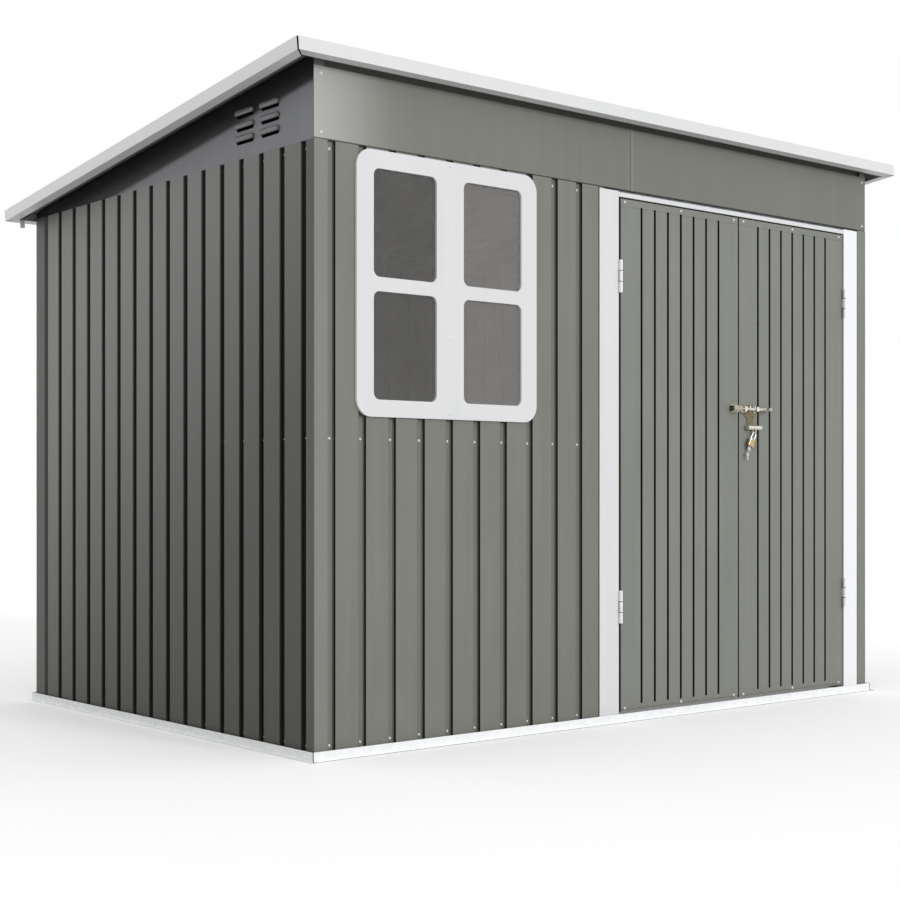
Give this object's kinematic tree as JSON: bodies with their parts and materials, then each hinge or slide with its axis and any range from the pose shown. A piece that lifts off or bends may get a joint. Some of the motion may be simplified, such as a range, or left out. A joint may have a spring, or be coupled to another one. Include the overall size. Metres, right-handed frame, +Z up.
{
  "type": "metal tool shed",
  "caption": "Lean-to garden shed of ribbed sheet steel with a double door, a fixed four-pane window and a sliding bolt with padlock.",
  "frame": {"origin": "on the ground under the middle of the roof", "axes": "+X runs along the front to the viewer's right, +Y from the front to the back, +Z up; the doors and the window face -Y"},
  "size_m": [2.6518, 1.811, 1.9315],
  "materials": {
    "grey_paint": "satin",
    "white_paint": "satin",
    "galvanised": "spangled",
    "clear_pane": "clear",
    "bright_steel": "polished",
    "latch_zinc": "yellow zinc",
    "brass": "satin"
  },
  "bodies": {
    "shed": {"back_wall_left": "grey_paint", "back_wall_middle": "grey_paint", "back_wall_right": "grey_paint", "base_rail_back": "galvanised", "base_rail_front": "galvanised", "base_rail_left": "galvanised", "base_rail_right": "galvanised", "corner_post_back_left": "grey_paint", "corner_post_back_right": "grey_paint", "corner_post_front_left": "grey_paint", "corner_post_front_right": "grey_paint", "door_header": "white_paint", "door_jamb_left": "white_paint", "door_jamb_right": "white_paint", "frieze_left": "grey_paint", "frieze_right": "grey_paint", "front_wall_above_window": "grey_paint", "front_wall_below_window": "grey_paint", "front_wall_left": "grey_paint", "front_wall_right": "grey_paint", "gable_panel_left": "grey_paint", "gable_panel_right": "grey_paint", "hinge_left_jamb_half": "white_paint", "hinge_right_jamb_half": "white_paint", "left_wall_back": "grey_paint", "left_wall_front": "grey_paint", "mid_rail_back": "galvanised", "mid_rail_front": "galvanised", "mid_rail_left": "galvanised", "mid_rail_right": "galvanised", "right_wall_back": "grey_paint", "right_wall_front": "grey_paint", "roof_beam_front": "galvanised", "roof_sheet_left": "grey_paint", "roof_sheet_middle": "grey_paint", "roof_sheet_right": "grey_paint", "roof_trim_back": "white_paint", "roof_trim_front": "white_paint", "roof_trim_left": "white_paint", "roof_trim_right": "white_paint", "top_rail_back": "galvanised", "top_rail_front": "galvanised", "top_rail_left": "galvanised", "top_rail_right": "galvanised", "window_frame_inner": "white_paint", "window_frame_outer": "white_paint", "window_pane": "clear_pane"},
    "door_left": {"door_left_skin": "grey_paint", "door_left_frame": "galvanised", "hinge_left_door_half": "white_paint", "latch_keeper": "bright_steel"},
    "door_right": {"door_right_skin": "grey_paint", "door_right_frame": "galvanised", "hinge_right_door_half": "white_paint", "latch_plate": "latch_zinc", "padlock": "brass", "keys": "bright_steel"},
    "bolt": {"latch_bolt": "bright_steel"}
  },
  "joints": [
    {"name": "door_left_hinge", "type": "hinge", "parent": "shed", "child": "door_left", "pos_m": [-0.0576, -0.85089, 0.887], "axis": [0, 0, -1], "range_deg": [0, 150]},
    {"name": "door_right_hinge", "type": "hinge", "parent": "shed", "child": "door_right", "pos_m": [1.0969, -0.85089, 0.887], "axis": [0, 0, 1], "range_deg": [0, 150]},
    {"name": "bolt_slide", "type": "slide", "parent": "door_right", "child": "bolt", "axis": [-1, 0, 0], "range_m": [0, 0.03]}
  ]
}
